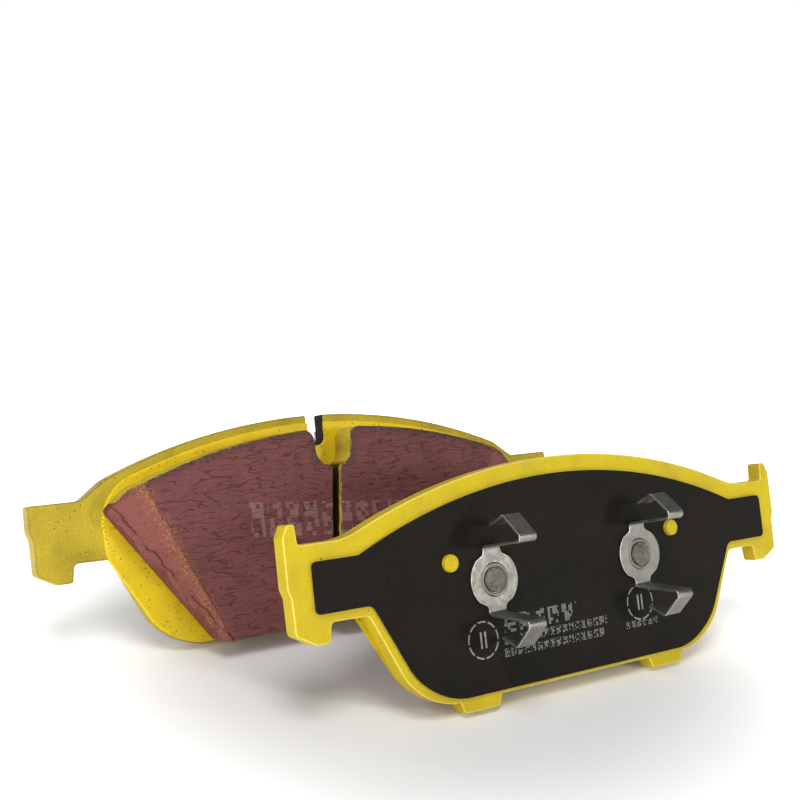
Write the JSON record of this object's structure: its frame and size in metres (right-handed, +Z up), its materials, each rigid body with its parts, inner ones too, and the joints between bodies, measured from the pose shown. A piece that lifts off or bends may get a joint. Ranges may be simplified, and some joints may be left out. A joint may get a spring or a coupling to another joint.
{
  "type": "disc brake pad pair",
  "caption": "Inner and outer disc brake pads standing face to face: arched steel backing plates with eared ends, slotted and chamfered linings, rubber-faced shims and riveted piston springs.",
  "frame": {"origin": "centre of the pair's bounding box at floor level", "axes": "+X along the pads to the right as seen from the piston springs, +Y from the inner pad towards the outer pad, +Z up; both pads lean back 22.4 degrees about X"},
  "size_m": [0.242, 0.1066, 0.0677],
  "materials": {
    "plate_coating": "satin yellow powder coat with fine pinholes",
    "lining": "matt pressed friction compound, burgundy",
    "underlayer": "bonded underlayer under the same yellow powder coat",
    "shim_rubber": "satin rubber face",
    "shim_steel": "cut steel edge",
    "spring_steel": "bare spring steel",
    "rivet_steel": "peened rivet end"
  },
  "bodies": {
    "inner_pad": {"inner_backing_plate": "plate_coating", "inner_shim_core": "shim_steel", "inner_shim_coating": "shim_rubber", "inner_underlayer": "underlayer", "inner_friction_left": "lining", "inner_friction_right": "lining", "left_clip_ring": "spring_steel", "left_clip_rivet": "rivet_steel", "right_clip_ring": "spring_steel", "right_clip_rivet": "rivet_steel"},
    "left_upper_leg": {"left_clip_upper_leg": "spring_steel"},
    "left_lower_leg": {"left_clip_lower_leg": "spring_steel"},
    "right_upper_leg": {"right_clip_upper_leg": "spring_steel"},
    "right_lower_leg": {"right_clip_lower_leg": "spring_steel"},
    "outer_pad": {"outer_backing_plate": "plate_coating", "outer_shim_core": "shim_steel", "outer_shim_coating": "shim_rubber", "outer_underlayer": "underlayer", "outer_friction_left": "lining", "outer_friction_right": "lining"}
  },
  "joints": [
    {"name": "outer_pad_travel", "type": "slide", "parent": "inner_pad", "child": "outer_pad", "axis": [0, -0.9245, 0.3811], "range_m": [0, 0.018]},
    {"name": "left_upper_leg_flex", "type": "hinge", "parent": "inner_pad", "child": "left_upper_leg", "pos_m": [-0.0049, -0.02889, 0.04647], "axis": [1, 0, 0], "range_deg": [0, 8], "stiffness_Nm_per_rad": 2},
    {"name": "left_lower_leg_flex", "type": "hinge", "parent": "inner_pad", "child": "left_lower_leg", "pos_m": [-0.0049, -0.03651, 0.02798], "axis": [-1, 0, 0], "range_deg": [0, 8], "stiffness_Nm_per_rad": 2},
    {"name": "right_upper_leg_flex", "type": "hinge", "parent": "inner_pad", "child": "right_upper_leg", "pos_m": [0.0539, -0.02889, 0.04647], "axis": [1, 0, 0], "range_deg": [0, 8], "stiffness_Nm_per_rad": 2},
    {"name": "right_lower_leg_flex", "type": "hinge", "parent": "inner_pad", "child": "right_lower_leg", "pos_m": [0.0539, -0.03651, 0.02798], "axis": [-1, 0, 0], "range_deg": [0, 8], "stiffness_Nm_per_rad": 2}
  ]
}
